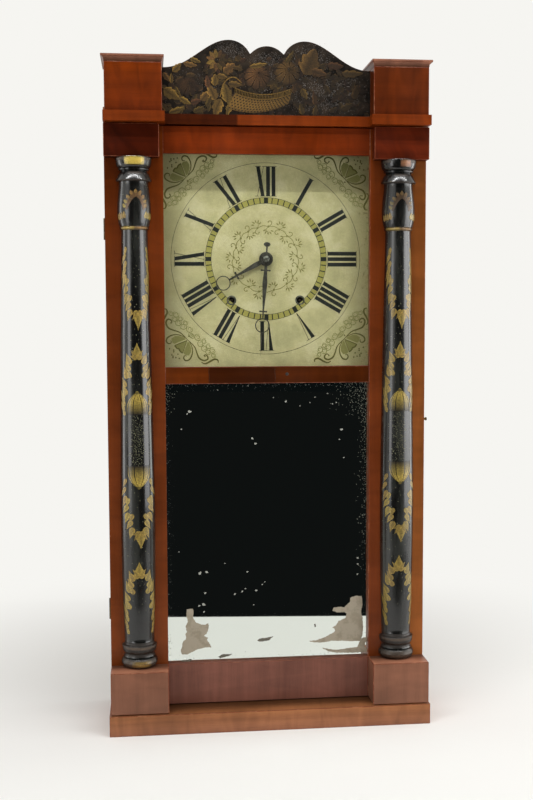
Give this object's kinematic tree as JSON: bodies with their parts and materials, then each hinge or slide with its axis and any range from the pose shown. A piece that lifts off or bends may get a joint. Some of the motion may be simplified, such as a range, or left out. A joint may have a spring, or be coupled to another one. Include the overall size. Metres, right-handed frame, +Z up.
{
  "type": "shelf clock",
  "caption": "Weight-driven shelf clock with stencilled half columns and splat, painted dial and a looking-glass door, on a flat base.",
  "frame": {"origin": "centre of the base's underside, where the clock stands", "axes": "+Z up, +X to the right seen from the front, +Y to the back; the dial faces -Y"},
  "size_m": [0.4136, 0.137, 0.8668],
  "materials": {
    "mahogany_veneer": "figured mahogany veneer under worn shellac",
    "dark_mahogany": "dark crotch mahogany veneer, shellacked",
    "pine": "old unfinished pine",
    "black_stencilled_wood": "black paint with bronze powder stencil, varnished and worn",
    "painted_dial": "cream oil paint on a wooden board, aged",
    "cherry_wood": "turned and sawn cherry, unfinished",
    "old_brass": "tarnished brass",
    "dark_iron": "blackened iron",
    "steel_wire": "dull drawn wire",
    "clear_glass": "old window glass",
    "silvered_glass": "old silvered looking glass with worn silvering",
    "cord": "twisted cotton cord"
  },
  "bodies": {
    "case": {"base_front_rail": "mahogany_veneer", "base_side_rails": "mahogany_veneer", "case_left_side": "mahogany_veneer", "case_right_side": "mahogany_veneer", "case_bottom_board": "pine", "backboard": "pine", "cornice_plate": "mahogany_veneer", "tower_block_left": "mahogany_veneer", "tower_block_right": "mahogany_veneer", "tower_caps": "mahogany_veneer", "splat": "black_stencilled_wood", "pulley_covers": "dark_mahogany", "dial_rails": "pine", "dial": "painted_dial", "movement_rails": "pine", "movement_front_plate": "cherry_wood", "movement_back_plate": "cherry_wood", "movement_pillars": "cherry_wood", "bell": "dark_iron", "case_hinge_leaves": "old_brass", "time_cord": "cord", "strike_cord": "cord"},
    "door": {"door_left_stile": "mahogany_veneer", "door_right_stile": "mahogany_veneer", "door_top_rail": "mahogany_veneer", "door_mid_rail": "mahogany_veneer", "door_bottom_rail": "mahogany_veneer", "frieze_blocks": "dark_mahogany", "plinth_blocks": "mahogany_veneer", "half_column_left": "black_stencilled_wood", "half_column_right": "black_stencilled_wood", "dial_glass": "clear_glass", "mirror_glass": "silvered_glass", "mirror_backing": "pine", "door_hinge_leaves": "old_brass", "latch_pin": "dark_iron"},
    "hook": {"door_hook": "old_brass"},
    "minute_arbor": {"minute_hand": "dark_iron", "centre_wheel": "cherry_wood"},
    "hour_pipe": {"hour_hand": "dark_iron", "hour_wheel": "old_brass"},
    "minute_wheel": {"minute_wheel": "old_brass"},
    "time_great_wheel": {"time_great_wheel": "cherry_wood"},
    "third_arbor": {"third_wheel": "cherry_wood"},
    "escape_arbor": {"escape_wheel": "old_brass"},
    "verge": {"verge": "steel_wire"},
    "pendulum": {"pendulum_rod": "steel_wire", "pendulum_bob": "old_brass"},
    "time_drum": {"time_drum": "cherry_wood"},
    "strike_drum": {"strike_drum": "cherry_wood"},
    "strike_great_wheel": {"strike_great_wheel": "cherry_wood"},
    "pin_arbor": {"pin_wheel": "cherry_wood"},
    "fly": {"fly": "old_brass"},
    "hammer": {"hammer": "steel_wire"},
    "time_weight": {"time_weight": "dark_iron", "time_cord_drop": "cord"},
    "strike_weight": {"strike_weight": "dark_iron", "strike_cord_drop": "cord"},
    "time_pulley": {"time_pulley": "cherry_wood"},
    "strike_pulley": {"strike_pulley": "cherry_wood"}
  },
  "joints": [
    {"name": "door_swing", "type": "hinge", "parent": "case", "child": "door", "pos_m": [-0.2032, -0.0142, 0.4], "axis": [0, 0, -1], "range_deg": [0, 110]},
    {"name": "hook_swing", "type": "hinge", "parent": "case", "child": "hook", "pos_m": [0.204, 0.006, 0.391], "axis": [1, 0, 0], "range_deg": [0, 270]},
    {"name": "minute_turn", "type": "hinge", "parent": "case", "child": "minute_arbor", "pos_m": [0, 0.0334, 0.598], "axis": [0, 1, 0], "continuous": true},
    {"name": "hour_turn", "type": "hinge", "parent": "case", "child": "hour_pipe", "pos_m": [0, 0.0334, 0.598], "axis": [0, 1, 0], "continuous": true},
    {"name": "motion_wheel_turn", "type": "hinge", "parent": "case", "child": "minute_wheel", "pos_m": [0.018, 0.0334, 0.598], "axis": [0, 1, 0], "continuous": true},
    {"name": "time_great_turn", "type": "hinge", "parent": "case", "child": "time_great_wheel", "pos_m": [0.0443, 0.0334, 0.5456], "axis": [0, 1, 0], "continuous": true},
    {"name": "third_turn", "type": "hinge", "parent": "case", "child": "third_arbor", "pos_m": [0.00022, 0.0334, 0.6308], "axis": [0, 1, 0], "continuous": true},
    {"name": "escape_turn", "type": "hinge", "parent": "case", "child": "escape_arbor", "pos_m": [-0.014, 0.0334, 0.648], "axis": [0, 1, 0], "continuous": true},
    {"name": "pendulum_swing", "type": "hinge", "parent": "case", "child": "pendulum", "pos_m": [-0.014, 0.0334, 0.68], "axis": [0, 1, 0], "range_deg": [-3, 3]},
    {"name": "verge_rock", "type": "hinge", "parent": "case", "child": "verge", "pos_m": [-0.014, 0.0334, 0.674], "axis": [0, 1, 0], "range_deg": [-3.75, 3.75]},
    {"name": "time_weight_rise", "type": "slide", "parent": "case", "child": "time_weight", "axis": [0, 0, 1], "range_m": [0, 0.48], "deforming": ["time_cord_drop"]},
    {"name": "strike_weight_rise", "type": "slide", "parent": "case", "child": "strike_weight", "axis": [0, 0, 1], "range_m": [0, 0.48], "deforming": ["strike_cord_drop"]},
    {"name": "time_drum_turn", "type": "hinge", "parent": "case", "child": "time_drum", "pos_m": [0.0443, 0.0334, 0.5456], "axis": [0, 1, 0], "range_deg": [0, 1976]},
    {"name": "strike_drum_turn", "type": "hinge", "parent": "case", "child": "strike_drum", "pos_m": [-0.0443, 0.0334, 0.5456], "axis": [0, 1, 0], "range_deg": [-1976, 0]},
    {"name": "time_pulley_turn", "type": "hinge", "parent": "case", "child": "time_pulley", "pos_m": [0.13805, 0.0334, 0.766], "axis": [0, 1, 0], "range_deg": [-1976, 0]},
    {"name": "strike_pulley_turn", "type": "hinge", "parent": "case", "child": "strike_pulley", "pos_m": [-0.13805, 0.0334, 0.766], "axis": [0, 1, 0], "range_deg": [0, 1976]},
    {"name": "pin_wheel_turn", "type": "hinge", "parent": "case", "child": "pin_arbor", "pos_m": [-0.05622, 0.0334, 0.61317], "axis": [0, 1, 0], "continuous": true},
    {"name": "strike_great_turn", "type": "hinge", "parent": "case", "child": "strike_great_wheel", "pos_m": [-0.0443, 0.0334, 0.5456], "axis": [0, 1, 0], "continuous": true},
    {"name": "fly_turn", "type": "hinge", "parent": "case", "child": "fly", "pos_m": [-0.06035, 0.0334, 0.63661], "axis": [0, 1, 0], "continuous": true},
    {"name": "hammer_lift", "type": "hinge", "parent": "case", "child": "hammer", "pos_m": [-0.05, 0.0334, 0.676], "axis": [0, -1, 0], "range_deg": [0, 20]}
  ],
  "couplings": [
    {"joint": "hour_turn", "follows": "minute_turn", "ratio": 0.083333},
    {"joint": "motion_wheel_turn", "follows": "minute_turn", "ratio": -0.33333},
    {"joint": "time_great_turn", "follows": "minute_turn", "ratio": -0.16667},
    {"joint": "third_turn", "follows": "minute_turn", "ratio": -9},
    {"joint": "escape_turn", "follows": "minute_turn", "ratio": 72},
    {"joint": "verge_rock", "follows": "pendulum_swing", "ratio": 1.25},
    {"joint": "time_drum_turn", "follows": "time_weight_rise", "rad_per_m": 71.685},
    {"joint": "time_pulley_turn", "follows": "time_weight_rise", "rad_per_m": -71.685},
    {"joint": "strike_drum_turn", "follows": "strike_weight_rise", "rad_per_m": -71.685},
    {"joint": "strike_pulley_turn", "follows": "strike_weight_rise", "rad_per_m": 71.685},
    {"joint": "strike_great_turn", "follows": "pin_wheel_turn", "ratio": -0.16667},
    {"joint": "fly_turn", "follows": "pin_wheel_turn", "ratio": -7.5}
  ]
}
